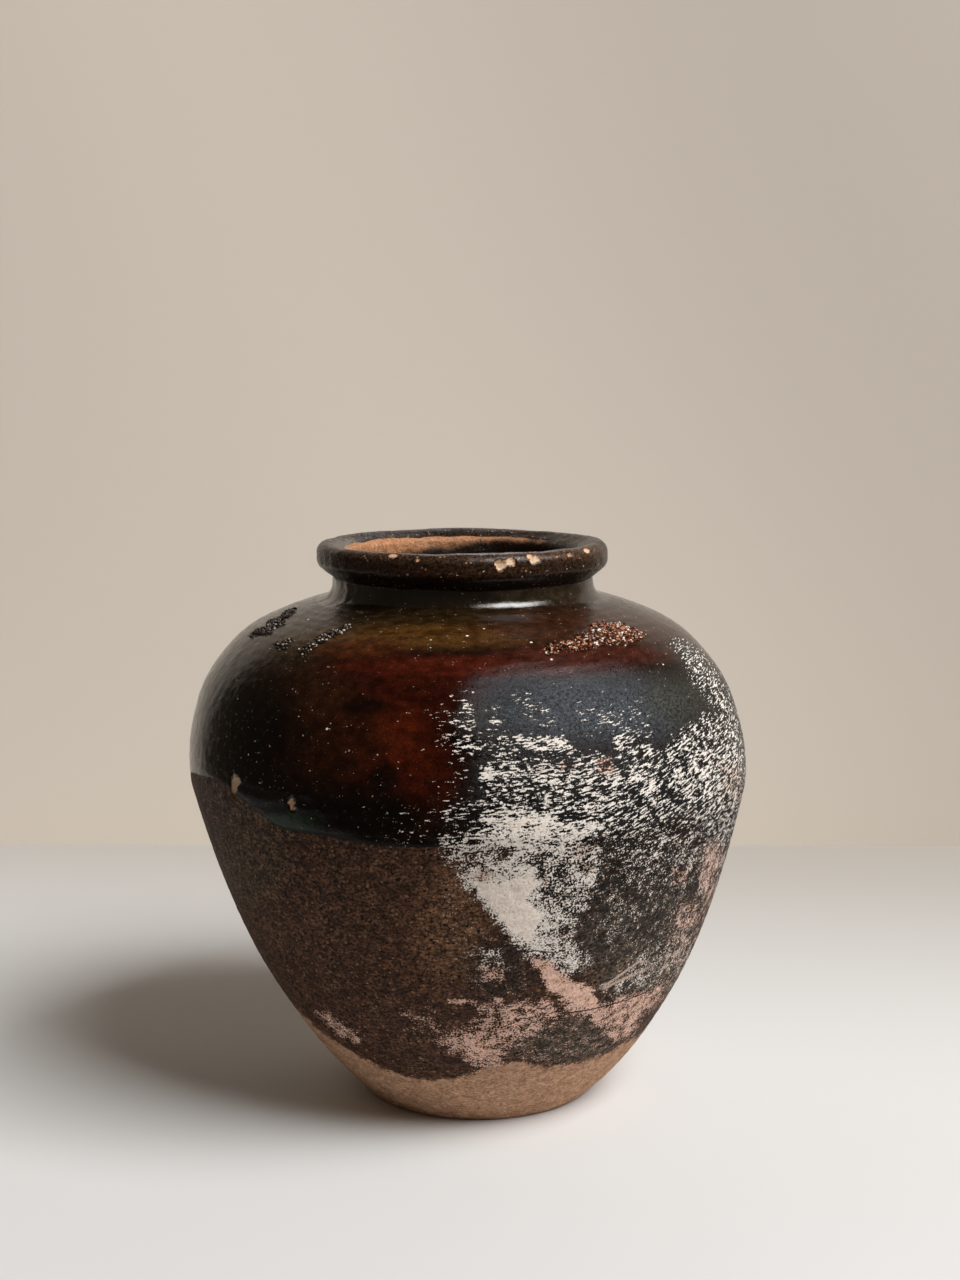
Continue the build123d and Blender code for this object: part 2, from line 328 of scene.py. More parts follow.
# White lime crust: outlines as columns and rows by turns, the share of the surface that the crust covers there and
# the softness of the outline in pixels
LIME_AREAS = [
    ([490, 806, 530, 806, 560, 818, 600, 818, 612, 828, 590, 838, 560, 850, 530, 862, 540, 872, 536, 888, 545, 900,
      552, 915, 556, 935, 552, 957, 530, 960, 512, 942, 500, 925, 488, 910, 476, 900, 466, 888, 459, 877, 470, 866,
      500, 862, 515, 850, 480, 846, 470, 838, 488, 826, 478, 818], 0.86, 6),
    ([464, 876, 500, 880, 530, 868, 546, 884, 530, 900, 548, 918, 530, 948, 512, 938, 496, 918, 478, 898],
     0.998, 6),
    ([494, 812, 540, 814, 560, 824, 545, 838, 500, 840], 0.92, 8),
    ([438, 838, 470, 836, 505, 850, 505, 866, 470, 872, 445, 862], 0.55, 8),
    ([440, 800, 490, 795, 490, 830, 450, 840], 0.22, 12),
    ([512, 737, 562, 737, 576, 752, 530, 752], 0.74, 5),
    ([448, 736, 515, 736, 515, 754, 455, 752], 0.42, 8),
    ([480, 765, 652, 762, 655, 782, 600, 788, 480, 786], 0.58, 6),
    ([500, 756, 600, 756, 655, 768, 640, 800, 500, 800], 0.36, 10),
    ([520, 785, 655, 785, 650, 815, 600, 822, 525, 812], 0.42, 10),
    ([480, 780, 525, 780, 520, 803, 488, 803], 0.4, 8),
    ([612, 735, 645, 735, 655, 758, 620, 758], 0.56, 6),
    ([640, 765, 680, 748, 690, 790, 660, 835, 630, 820], 0.36, 12),
    ([668, 745, 690, 728, 704, 726, 706, 790, 690, 812, 672, 795], 0.58, 10),
    ([690, 750, 742, 735, 746, 775, 740, 812, 700, 822], 0.54, 10),
    ([704, 716, 734, 712, 742, 740, 712, 752], 0.5, 9),
    ([672, 640, 692, 648, 722, 680, 738, 715, 722, 715, 700, 690], 0.42, 9),
    ([590, 815, 625, 812, 622, 830, 596, 834], 0.74, 7),
    ([600, 800, 700, 800, 722, 850, 690, 880, 620, 880, 600, 850], 0.27, 16),
    ([540, 845, 600, 838, 600, 880, 572, 930, 550, 945, 545, 900], 0.6, 10),
    ([600, 870, 700, 870, 705, 900, 690, 950, 610, 965, 596, 930], 0.1, 18),
    ([520, 925, 564, 925, 590, 962, 566, 978, 535, 960], 0.7, 9),
    ([600, 992, 640, 955, 690, 930, 690, 960, 668, 985, 620, 995], 0.3, 9),
    ([380, 815, 440, 800, 450, 850, 390, 850], 0.05, 10),
    ([700, 812, 738, 806, 726, 880, 702, 900], 0.42, 10),
    ([450, 700, 470, 695, 474, 735, 452, 738], 0.2, 8),
    ([484, 708, 500, 708, 504, 735, 484, 735], 0.18, 7),
    ([515, 700, 535, 700, 560, 724, 535, 724], 0.22, 8),
    ([580, 705, 640, 705, 650, 735, 590, 738], 0.12, 12),
    ([446, 880, 470, 900, 500, 945, 530, 990, 480, 1000, 440, 940], 0.05, 14),
    ([474, 950, 500, 948, 506, 968, 480, 966], 0.3, 6),
    ([428, 700, 450, 700, 470, 790, 440, 800], 0.07, 14),
]
# Bare pink clay where the slip has worn off, in the same form
PINK_AREAS = [
    ([528, 955, 548, 960, 562, 972, 574, 982, 592, 985, 598, 1003, 590, 1012, 570, 1004, 560, 998, 551, 992, 541,
      976], 0.97, 5),
    ([560, 998, 600, 1003, 650, 989, 668, 983, 657, 1002, 642, 1016, 630, 1036, 614, 1042, 604, 1028, 590, 1018, 566,
      1012], 0.8, 6),
    ([520, 1003, 545, 1000, 560, 1010, 565, 1018, 545, 1026, 530, 1036, 512, 1046, 503, 1054, 500, 1064, 478, 1068,
      462, 1056, 444, 1048, 438, 1040, 452, 1034, 470, 1025, 490, 1016], 0.66, 7),
    ([452, 1044, 470, 1036, 500, 1036, 502, 1062, 478, 1066], 0.88, 6),
    ([474, 1006, 516, 1006, 520, 1016, 478, 1016], 0.55, 4),
    ([480, 964, 505, 966, 505, 981, 484, 981], 0.58, 4),
    ([448, 999, 477, 1000, 477, 1004, 448, 1003], 0.9, 1.5),
    ([494, 997, 503, 999, 502, 1005, 495, 1003], 0.9, 1.5),
    ([316, 1012, 330, 1014, 362, 1038, 358, 1044, 336, 1034], 0.62, 4),
    ([400, 1015, 430, 1010, 444, 1024, 436, 1040, 410, 1034], 0.2, 9),
    ([512, 1050, 530, 1034, 560, 1022, 592, 1022, 612, 1046, 570, 1062, 530, 1064], 0.09, 6),
    ([700, 885, 704, 850, 718, 838, 724, 850, 722, 868, 710, 905], 0.66, 7),
    ([720, 765, 742, 765, 742, 800, 726, 800], 0.44, 8),
    ([596, 759, 612, 758, 616, 772, 600, 775], 0.97, 3),
    ([558, 760, 574, 760, 576, 771, 560, 772], 0.74, 4),
    ([680, 900, 712, 890, 690, 960, 660, 1000, 655, 980], 0.42, 12),
    ([672, 868, 692, 864, 688, 884, 674, 884], 0.55, 6),
]
# Long fine scratches, dark ones and pale ones, as lines of the photograph from left to right
DARK_SCRATCHES = [[562, 1014, 590, 1010, 630, 1000, 655, 988], [518, 953, 535, 951, 556, 953]]
PALE_SCRATCHES = [[602, 988, 620, 976, 640, 962], [604, 989, 625, 979, 648, 969]]
# Orange rust stains on the lime: column, row, half width, half height
STAINS = [(484, 876, 10, 6), (582, 853, 9, 6), (586, 868, 8, 5), (540, 770, 5, 3)]
# Chips knocked out of the surface: column, row, half width, half height in pixels, and depth in millimetres
CHIPS = [
    (501, 565, 6.8, 4.2, 1.7), (510, 562, 4.2, 3.4, 1.3), (535, 560, 5, 3, 1.2), (530, 557, 3.4, 2.6, 0.9),
    (586, 551, 3.4, 2, 0.8), (236, 783, 3.6, 5.4, 1.2), (234, 791, 2.6, 3.6, 1.0), (292, 803, 3, 3, 0.9),
    (294, 808, 2.6, 2.3, 0.8), (393, 556, 4.4, 1.6, 0.6), (418, 560, 2.3, 1.5, 0.5), (568, 556, 2.3, 1.5, 0.5),
]
# The clay inside the mouth: orange where light is painted on it, dark where shade is painted, and a darker brown
# deeper inside, also painted shade
TERRACOTTA = (0.44, 0.205, 0.095)
MOUTH_PAINTED_SHADE = (0.014, 0.006, 0.003)
INSIDE_PAINTED_SHADE = (0.12, 0.062, 0.036)
# The lower edge of the painted light on the orange clay inside the mouth, from left to right; below it lies painted
# shade
PAINTED_LIGHT_EDGE = [330, 556, 391, 554, 440, 547, 492, 542, 556, 538, 600, 532]
# The rim's own colours, in the same form as the glaze's spots
RIM_DARK = (14, 6.5, 3)
RIM_SPOTS = [
    (460, 556, 150, 8, (30, 14, 7), 0.8),
    (560, 552, 50, 9, (48, 25, 13), 0.7),
    (440, 571, 120, 5, (26, 10, 4), 0.7),
    (358, 560, 40, 10, (30, 15, 8), 0.7),
    (346, 543, 13, 5, (90, 80, 70), 0.8),
    (540, 548, 60, 4, (40, 20, 10), 0.7),
    (470, 529, 120, 3, (24, 14, 8), 0.6),
]
# Columns and rows between which the satin zone sets in, and rows between which upper bands of streaks end
SATIN_COLUMNS = (440, 520)
SATIN_ROWS = (650, 700)
STREAKY_ROWS = (880, 810)
# How far the back's marks stray and its edges wander, in pixels, how much the marks fade, and how far behind the
# silhouette stray and fade are full, in millimetres
STRAY_ACROSS = 60
STRAY_ALONG = 30
STRAY_DEPTH = 45
GLAZE_WANDER = 5.0
SLIP_WANDER = 9.0
BACK_FADE = 0.45
FADE_DEPTH = 90
# A reach is in pixels of the photograph, each PIXEL_SIZE mm wide, and a layer holds it in parts of REACH_PIXELS. A
# share's threshold is in parts of 3 deviations of the noise that breaks up crust and worn clay, each about 0.075.
PIXEL_SIZE = 0.52
REACH_PIXELS = 40.0
SCRATCH_REACH = 16.0
UNCOATED = -60.0
SHARE_WEIGHT = 0.225
# Wear strokes rise to the right, more steeply from a place on the right side
STROKE_RISE = 0.06
STEEP_FROM = 68
STEEP_SOFTNESS = 9
STEEP_RISE = 0.32
# A ridge round the neck, its height above the floor and half its width
NECK_RIDGE = 273.0
NECK_RIDGE_WIDTH = 1.3
# Upright folds of glaze on the neck's left side: the middle and half width in radians, folds a turn, and depth
FOLDS_AT = -1.25
FOLDS_SPREAD = 0.26
FOLDS_A_TURN = 26
FOLDS_DEPTH = 0.3
# The patches of kiln grit by the node that each stands for: outlines like the crust's, and the grains' linear colours
# in thousandths, each with its chance. The palest grain colours are partly pale grains and partly painted glints.
GRIT_PATCHES = {
    "kiln_grit_front_right": ([
        [545, 651, 548, 645, 560, 642, 573, 641, 577, 636, 590, 634, 590, 624, 600, 623, 625, 625,
         640, 633, 646, 634, 640, 638, 625, 645, 607, 645, 590, 649, 580, 651, 560, 652, 548, 655],
    ], [(150, 40, 16, 0.32), (60, 18, 8, 0.22), (460, 190, 90, 0.2), (14, 7, 4, 0.14), (800, 700, 620, 0.12)]),
    "kiln_grit_front_left": ([
        [300, 650, 318, 638, 348, 625, 352, 628, 330, 638, 305, 655],
        [275, 646, 282, 640, 290, 641, 288, 648, 279, 650],
    ], [(22, 13, 9, 0.28), (40, 24, 15, 0.26), (10, 6, 4, 0.26), (600, 520, 450, 0.2)]),
    "kiln_grit_far_left": ([
        [250, 637, 256, 630, 266, 629, 270, 621, 280, 619, 286, 612, 294, 609, 291, 615, 283, 619,
         284, 624, 274, 628, 268, 635, 259, 634],
    ], [(8, 5, 3, 0.36), (18, 11, 7, 0.28), (34, 21, 12, 0.24), (140, 110, 90, 0.12)]),
}
GRIT_LOWEST = 225  # no grain lies lower on the shoulder
GRAINS_PER_SPOT = 2


def outline_distance(column, row, outline):
    """Signed distance in pixels to a closed outline, positive inside."""
    outline = np.array(outline, float).reshape(-1, 2)
    best, inside = np.full(column.shape, 1e9), np.zeros(column.shape, bool)
    for start, end in zip(outline, np.roll(outline, -1, axis=0)):
        run = end - start
        share = np.clip(((column - start[0]) * run[0] + (row - start[1]) * run[1]) / (run @ run), 0, 1)
        gap = np.hypot(column - start[0] - share * run[0], row - start[1] - share * run[1])
        best = np.minimum(best, gap)
        crosses = (start[1] > row) != (end[1] > row)
        at = start[0] + (row - start[1]) / run[1] * run[0] if run[1] else start[0]
        inside ^= crosses & (column < at)
    return np.where(inside, best, -best)


def row_on(line, column):
    """The row of a line of the photograph at each column."""
    return np.interp(column, line[::2], line[1::2])


def soft_spot(column, row, x, y, half_width, half_height):
    """1 in the middle of a spot, falling softly away from it."""
    return np.exp(-(((column - x) / half_width) ** 2 + ((row - y) / half_height) ** 2))


def painted(base, spots, column, row, fade):
    """Soft spots of colour laid over a base colour, one after another."""
    colour = np.broadcast_to(np.array(base) / 1000, column.shape + (3,)).copy()
    for *spot, tone, strength in spots:
        share = (strength * fade * smoothstep(0.08, 0.75, soft_spot(column, row, *spot)))[..., None]
        colour = colour * (1 - share) + np.array(tone) / 1000 * share
    return colour


def covering(areas, column, row, fade):
    """What a noise has to reach for marks to show, from the share that they cover inside outlines with soft edges."""
    cover = np.zeros(column.shape)
    for outline, share, softness in areas:
        inside = smoothstep(-softness, softness, outline_distance(column, row, outline))
        cover = np.maximum(cover, share * inside * fade)
    # The threshold that a share of a normal noise passes, in parts of 3 deviations
    cover = np.clip(cover, 0.006, 0.994)
    return np.log(cover / (1 - cover)) / 1.702 / 3


def scratch_lines(lines, column, row, behind):
    """Signed distances to two scratches in parts of their reach, and 1 near them with soft ends."""
    distances, near = [], 0
    for line in lines:
        first, last = line[0], line[-2]
        away = row - row_on(line, column)
        ends = smoothstep(first - 6, first + 6, column) * smoothstep(last + 6, last - 6, column)
        near = np.maximum(near, ends * (np.abs(away) < SCRATCH_REACH) * ~behind)
        distances.append(np.clip(away / SCRATCH_REACH, -1, 1))
    return np.stack([*distances, near], axis=-1)


def ring_points(line):
    """The jar's plain surface over a stretch of the section: rings of points in millimetres, with the lean."""
    radius, height = line[:, :1], line[:, 1:]
    x = radius * np.sin(ANGLES) + lean(height)
    y = -radius * np.cos(ANGLES) + 0 * height
    return np.stack([x, y, np.broadcast_to(height, x.shape)], axis=-1)


def ring_radius(points):
    """How far points lie from the middle of their level ring."""
    return np.hypot(points[..., 0] - lean(points[..., 2]), points[..., 1])


def grid_normals(points):
    """Outward normals of a grid of rings that runs from the foot over the rim and down inside."""
    round_step = np.roll(points, -1, axis=1) - np.roll(points, 1, axis=1)
    return unit(np.cross(round_step, np.gradient(points, axis=0)))


def marks(points, whole_rim):
    """Every mark's strength at points of the surface, read at their places in the photograph."""
    y = points[..., 1]
    behind, open_side = y > 0, y < 0
    shown = points.copy()
    if whole_rim:
        open_side = (y < 20) & (ring_radius(points) > MOUTH_RADIUS + 5)
    else:
        shown[..., 1] = -np.abs(y)
    column, row = photo_pixels(shown)
    fade = np.where(behind & (not whole_rim), 1 - BACK_FADE * smoothstep(0, FADE_DEPTH, y), 1.0)
    wander = noise(points, 16, 40, 2)
    glaze_reach = row_on(GLAZE_EDGE, column) + np.where(behind, GLAZE_WANDER, 0.0) * wander - row
    slip_reach = row_on(SLIP_EDGE, column) + np.where(behind, SLIP_WANDER, 0.0) * wander - row
    # The back's marks stray from the mirrored ones, so that the sides show no symmetry
    stray = smoothstep(0, STRAY_DEPTH, y) * (not whole_rim)
    inwards = np.tanh((JAR_MIDDLE - column) / 40)
    column = column + STRAY_ACROSS * inwards * stray * (0.5 + 0.5 * noise(points, 38, 41, 2))
    row = row + STRAY_ALONG * stray * noise(points, 42, 42, 2)
    chip, stain = np.zeros(column.shape), np.zeros(column.shape)
    for x, level, half_width, half_height, depth in CHIPS:
        gap = np.hypot((column - x) / half_width, (row - level) / half_height) + 0.7 * noise(points, 2.6, 61, 2)
        chip = np.maximum(chip, depth * smoothstep(1.1, 0.8, gap) * open_side)
    for spot in STAINS:
        stain = np.maximum(stain, soft_spot(column, row, *spot))
    right = smoothstep(*SATIN_COLUMNS, column + 0.2 * (row - 700) + 22 * noise(points, 14, 45, 2))
    satin = right * smoothstep(*SATIN_ROWS, row - 8 * noise(points, 30, 44, 2))
    # The satin zone's colour, its bluish spots partly a painted reflection
    satin_and_sheen_colour = painted(GLAZE_DARK, SATIN_AND_SHEEN_SPOTS, column, row, fade)
    if whole_rim:
        tint, slip_tint_and_mouth_shade = painted(RIM_DARK, RIM_SPOTS, column, row, fade), mouth_clay_with_painted_shade(points)
    else:
        tint = painted(GLAZE_DARK, GLAZE_SPOTS, column, row, fade)
        slip_tint_and_mouth_shade = painted(SLIP_DARK, SLIP_SPOTS, column, row, fade)
    return {
        "glaze": rim_reach(points) if whole_rim else glaze_reach,
        "slip": UNCOATED if whole_rim else slip_reach,
        "lime": covering(LIME_AREAS, column, row, fade),
        "pink": covering(PINK_AREAS, column, row, fade),
        "streaky": smoothstep(*STREAKY_ROWS, row),
        "satin": satin * fade,
        "chip": chip,
        "stain": stain,
        "tint": tint * (1 - satin[..., None]) + satin_and_sheen_colour * satin[..., None],
        "slip_tint_and_mouth_shade": slip_tint_and_mouth_shade,
        "dark_scratch": scratch_lines(DARK_SCRATCHES, column, row, behind),
        "pale_scratch": scratch_lines(PALE_SCRATCHES, column, row, behind),
    }


def mouth_clay_with_painted_shade(points):
    """The bare clay's colour inside the mouth, with painted light and shade: orange where light is painted on the far
    wall, painted shade below that, to the right and in front.
    """
    column, row = photo_pixels(points)
    lit = smoothstep(-4, 5, row_on(PAINTED_LIGHT_EDGE, column) - row + 4.0 * noise(points, 6, 48, 2))
    far = smoothstep(-25, 5, points[..., 1])
    share = (0.22 + far * (lit - 0.22))[..., None]
    return np.array(MOUTH_PAINTED_SHADE) * (1 - share) + np.array(TERRACOTTA) * share


def rim_reach(points):
    """How far the glaze reaches past points of the rim, in pixels of the photograph: it ends inside the crest."""
    return (ring_radius(points) - MOUTH_RADIUS - 3.0 + 1.2 * noise(points, 7, 47, 2)) * 4


def relief(points, along, mark, name):
    """How far the real surface lies off the plain one, in millimetres outwards."""
    ground = smoothstep(0.5, 14, points[..., 2])
    height = 0.8 * noise(points, 95, 3) + 0.3 * noise(points, 34, 4) + 0.1 * noise(points, 9, 5, 2)
    turns = along / 6.5 + 0.9 * noise(points, 60, 6)
    height += 0.07 * np.sin(2 * math.pi * turns) * smoothstep(0.0, 0.5, noise(points, 70, 7) + 0.3)
    # A soft ridge where the two walls were luted together
    height += 0.25 * np.exp(-(((points[..., 2] - BELLY_JOINT) / 4.0) ** 2)) * (name in ("lower", "upper"))
    # Glaze and crust lie on top of the clay
    reach = mark["glaze"] * PIXEL_SIZE + 1.6 * noise(points, 6, 8, 2)
    height += 0.2 * smoothstep(-2.5, 2.5, reach)
    left = smoothstep(0.2, -0.9, points[..., 0] / BELLY_RADIUS)
    height += 0.16 * noise(points, 3.8, 9, 2) * (0.25 + 0.75 * left)
    height += 0.16 * smoothstep(-0.2, 0.6, mark["lime"]) * (0.5 + 0.5 * noise(points, 3.2, 10, 2))
    # Pits in the bare lower wall
    height -= 0.45 * (smoothstep(0.52, 0.72, noise(points, 5.5, 11)) * smoothstep(2, -8, reach))
    if name == "neck":
        height += 0.15 * np.exp(-(((points[..., 2] - NECK_RIDGE) / NECK_RIDGE_WIDTH) ** 2))
    if name == "rim":
        height += 0.22 * noise(points, 4, 15, 3) + 0.35 * noise(points, 17, 16)
    return height * ground - mark["chip"]


def neck_folds(points, theta):
    """Upright folds that glaze left on the neck's left side."""
    z = points[..., 2]
    share = np.exp(-(((theta - FOLDS_AT) / FOLDS_SPREAD) ** 2)) * smoothstep(COLLAR_JOINT - 2, COLLAR_JOINT + 4, z)
    share *= smoothstep(RIM_UNDERSIDE, RIM_JOINT - 2, z)
    return FOLDS_DEPTH * share * np.sin(theta * FOLDS_A_TURN + 7 * noise(points, 16, 12, 2))


def build_grid():
    """The whole surface: displaced points, normals, the layers at the vertices and the rows of each stretch."""
    lines, ranges, start = [], {}, 0
    for name, line in section().items():
        lines.append(line[1:] if lines else line)
        ranges[name] = (max(start - 1, 0), start + len(lines[-1]))
        start += len(lines[-1])
    profile = np.concatenate(lines)
    plain = ring_points(profile)
    normals = grid_normals(plain)
    theta = np.where(ANGLES > math.pi, ANGLES - 2 * math.pi, ANGLES)[None, :] + 0 * plain[..., 0]
    along = run_along(profile)[:, None] + 0 * theta
    points, shape = plain.copy(), plain.shape[:2]
    values = {key: np.zeros(shape) for key in ("glaze", "slip", "lime", "pink", "satin", "chip", "stain", "streaky")}
    values["lime"] -= 1
    values["pink"] -= 1
    colours = {key: np.zeros(shape + (3,)) for key in ("tint", "slip_tint_and_mouth_shade", "dark_scratch", "pale_scratch")}
    values |= colours
    for name in ("underside", "foot", "lower", "upper", "neck", "rim"):
        part = slice(*ranges[name])
        mark = marks(plain[part], name == "rim")
        for key in values:
            values[key][part] = mark[key]
        if name == "underside":
            continue
        height = relief(plain[part], along[part], mark, name)
        if name in ("upper", "neck", "rim"):
            height += neck_folds(plain[part], theta[part])
        points[part] = plain[part] + normals[part] * height[..., None]
    rim = slice(*ranges["rim"])
    ring = np.stack([np.sin(theta[rim]), np.cos(theta[rim]), 0 * theta[rim]], axis=-1)
    points[rim, :, 2] += 0.45 * noise(ring * 60, 34, 14) * smoothstep(RIM_JOINT, HEIGHT, plain[rim, :, 2])
    inside = slice(rim.stop, None)
    values["glaze"][inside] = values["slip"][inside] = UNCOATED
    # Deeper inside, the clay goes over into a darker brown: painted shade
    depth = smoothstep(RIM_JOINT, COLLAR_JOINT - 10, plain[inside][..., 2])[..., None]
    values["slip_tint_and_mouth_shade"][inside] = mouth_clay_with_painted_shade(plain[inside]) * (1 - depth) + np.array(INSIDE_PAINTED_SHADE) * depth
    warm = smoothstep(RIM_JOINT - 2, RIM_JOINT + 0.5, plain[..., 2])
    warm[inside] = 1
    x, y = plain[..., 0], plain[..., 1]
    steep = np.logaddexp(0, (x - STEEP_FROM) / STEEP_SOFTNESS) * STEEP_SOFTNESS * STEEP_RISE
    glaze, slip = (np.clip(values[key] / REACH_PIXELS, -1, 1) for key in ("glaze", "slip"))
    layers = {
        "reach": np.stack([glaze, slip, values["lime"]], axis=-1),
        "wear": np.stack([values["pink"], values["satin"], np.clip(values["chip"], 0, 1)], axis=-1),
        "stain": np.stack([values["stain"], warm, values["streaky"]], axis=-1),
        **colours,
        "place": np.stack([x, y, along - STROKE_RISE * x - steep], axis=-1),
    }
    return points, grid_normals(points), layers, ranges


POINTS, NORMALS, LAYERS, RANGES = build_grid()


def rows_of(*names):
    """The master grid's rows in the named stretches, in order."""
    rows = []
    for name in names:
        rows += [row for row in range(*RANGES[name]) if row not in rows]
    return rows


def store_layer(mesh, name, values):
    """Stores three values at each vertex of a mesh, as a colour for the tints and as a vector for the rest."""
    tinted = "tint" in name
    if tinted:
        values = np.concatenate([values, np.ones(values.shape[:-1] + (1,))], axis=-1)
    layer = mesh.attributes.new(name, "FLOAT_COLOR" if tinted else "FLOAT_VECTOR", "POINT")
    layer.data.foreach_set("color" if tinted else "vector", np.ascontiguousarray(values, dtype=np.float32).ravel())


def put(name, data, place=(0, 0, 0), turn=(0, 0, 0)):
    """An object of the scene at a place in metres, turned by angles."""
    thing = bpy.data.objects.new(name, data)
    thing.location, thing.rotation_euler = place, turn
    bpy.context.scene.collection.objects.link(thing)
    return thing


def add_object(name, points, faces, material):
    """A mesh object at the origin from points in millimetres."""
    mesh = bpy.data.meshes.new(name)
    mesh.from_pydata((np.asarray(points) * MM).tolist(), [], faces)
    mesh.polygons.foreach_set("use_smooth", [True] * len(mesh.polygons))
    mesh.materials.append(material)
    mesh.update()
    return put(name, mesh)


def ring_piece(name, rows, material, closed_by_poles=False):
    """A piece of the jar from rows of the master grid, closed into one skin."""
    count = len(rows)
    index = np.arange(count * COLUMNS).reshape(count, COLUMNS)
    right = np.roll(index, -1, axis=1)
    upper, upper_right = (np.roll(ring, -1, axis=0) for ring in (index, right))
    last = count - 1 if closed_by_poles else count
    faces = np.stack([index, right, upper_right, upper], axis=-1)[:last].reshape(-1, 4).tolist()
    vertices, normals, *layers = (values[rows].reshape(-1, 3) for values in (POINTS, NORMALS, *LAYERS.values()))
    if closed_by_poles:
        bottom, top = len(vertices), len(vertices) + 1
        vertices = np.concatenate([vertices, *([POINTS[row].mean(axis=0)] for row in (rows[0], rows[-1]))])
        normals = np.concatenate([normals, [[0, 0, -1]], [[0, 0, 1]]])
        layers = [np.concatenate([values, values[:1], values[-1:]]) for values in layers]
        faces += [[bottom, int(right[0, i]), int(index[0, i])] for i in range(COLUMNS)]
        faces += [[top, int(index[-1, i]), int(right[-1, i])] for i in range(COLUMNS)]
    thing = add_object(name, vertices, faces, material)
    for key, values in zip(LAYERS, layers):
        store_layer(thing.data, key, values)
    thing.data.normals_split_custom_set_from_vertices(normals.tolist())
    return thing


class Shader:
    """Short ways to add nodes to a material."""

    def __init__(self, name):
        self.material = bpy.data.materials.new(name)
        self.material.use_nodes = True
        self.tree = self.material.node_tree
        self.tree.nodes.clear()
        self.surface = self.add("ShaderNodeBsdfPrincipled")
        self.add("ShaderNodeOutputMaterial", {"Surface": self.surface.outputs["BSDF"]})

    def add(self, kind, inputs=None, **settings):
        """A node with its settings, and with values or links at the named or numbered inputs."""
        node = self.tree.nodes.new(kind)
        for key, value in settings.items():
            setattr(node, key, value)
        for key, value in (inputs or {}).items():
            self.feed(node.inputs[key], value)
        return node

    def feed(self, socket, value):
        """Links a socket, or sets it where the value is plain."""
        if isinstance(value, bpy.types.NodeSocket):
            self.tree.links.new(value, socket)
        else:
            socket.default_value = (*value, 1.0) if socket.type == "RGBA" else value

    def coated(self, colour, rough):
        """The material, with a colour and a roughness."""
        self.feed(self.surface.inputs["Base Color"], colour)
        self.feed(self.surface.inputs["Roughness"], rough)
        return self.material

    def parts(self, vector):
        """A vector's three parts."""
        return self.add("ShaderNodeSeparateXYZ", {0: vector}).outputs

    def vector(self, name):
        """A vertex layer's three parts."""
        return self.parts(self.add("ShaderNodeAttribute", attribute_name=name).outputs["Vector"])

    def colour(self, name):
        """A vertex layer as a colour."""
        return self.add("ShaderNodeAttribute", attribute_name=name).outputs["Color"]

    def texture(self, kind, where, cells, **inputs):
        """A texture whose features are about so many millimetres across along each axis."""
        scaled = self.add("ShaderNodeVectorMath", {0: where, 1: cells}, operation="DIVIDE")
        return self.add(kind, {"Vector": scaled.outputs[0], "Scale": 1.0, **inputs}).outputs

    def noise(self, where, cells, detail=3.0, rough=0.55):
        """Cloudy noise from 0 to 1."""
        return self.texture("ShaderNodeTexNoise", where, cells, Detail=detail, Roughness=rough)["Fac"]

    def specks(self, where, cell, size, chance):
        """Round specks: one in each cell of so many millimetres, at most, kept by chance."""
        found = self.texture("ShaderNodeTexVoronoi", where, (cell, cell, cell))
        pick, width, _ = self.parts(found["Color"])
        kept = self.step(pick, 1 - chance - 0.01, 1 - chance + 0.01)
        radius = self.step(width, 0.0, 1.0, size / cell * 0.4, size / cell)
        return self.times(kept, self.step(self.work("SUBTRACT", radius, found["Distance"]), 0.0, 0.04))

    def work(self, operation, *values):
        """What a Math node makes of values."""
        return self.add("ShaderNodeMath", dict(enumerate(values)), operation=operation).outputs[0]

    def sum(self, *terms):
        """The sum of value and weight pairs."""
        total = 0.0
        for value, weight in terms:
            total = self.work("MULTIPLY_ADD", value, weight, total)
        return total

    def times(self, first, second):
        """Two values multiplied."""
        return self.work("MULTIPLY", first, second)

    def step(self, value, low, high, start=0.0, end=1.0):
        """A soft step from start to end as a value goes from low to high."""
        inputs = {"Value": value, "From Min": low, "From Max": high, "To Min": start, "To Max": end}
        return self.add("ShaderNodeMapRange", inputs, interpolation_type="SMOOTHSTEP").outputs["Result"]

    def line(self, name, half_width):
        """1 on the two lines whose signed distances a layer holds, in parts of SCRATCH_REACH."""
        first, second, near = self.vector(name)
        on = (self.step(self.work("ABSOLUTE", gap), half_width * 1.5, half_width * 0.5) for gap in (first, second))
        return self.times(self.work("MAXIMUM", *on), near)

    def mix(self, share, first, second):
        """The second colour over the first."""
        return self.add("ShaderNodeMix", {"Factor": share, 6: first, 7: second}, data_type="RGBA").outputs[2]

    def blend(self, share, first, second):
        """The second value over the first."""
        return self.add("ShaderNodeMix", {"Factor": share, 2: first, 3: second}, data_type="FLOAT").outputs[0]

    def shade(self, colour, *steps):
        """A colour made darker and lighter by soft steps, each given as for step."""
        for step in steps:
            scaled = self.add("ShaderNodeVectorMath", {0: colour, "Scale": self.step(*step)}, operation="SCALE")
            colour = scaled.outputs[0]
        return colour

    def bump(self, height, distance):
        """Fine relief from a height in units of a distance in millimetres."""
        node = self.add("ShaderNodeBump", {"Distance": distance * MM, "Height": height})
        self.feed(self.surface.inputs["Normal"], node.outputs["Normal"])


# Surface colours, linear
CLAY = (0.52, 0.318, 0.203)
CLAY_DARK = (0.385, 0.22, 0.133)
WORN = (0.72, 0.44, 0.3)
PINK = (0.83, 0.555, 0.45)
PALE_CLAY = (0.62, 0.47, 0.385)
SLIP_GRAIN = (0.26, 0.14, 0.072)
PORE = (0.004, 0.002, 0.001)
RIM_SPECK = (0.36, 0.2, 0.11)
SCRATCH = (0.02, 0.012, 0.009)
DUST_AND_GLINT = (0.45, 0.38, 0.33)
LIME = (0.96, 0.855, 0.77)
FLECK = (0.9, 0.84, 0.78)
LIME_THIN = (0.24, 0.205, 0.18)
RUST = (0.46, 0.22, 0.1)
CHIP = (0.64, 0.47, 0.33)
CHIP_EDGE = (0.36, 0.15, 0.06)
CLAY_ROUGHNESS = 0.85


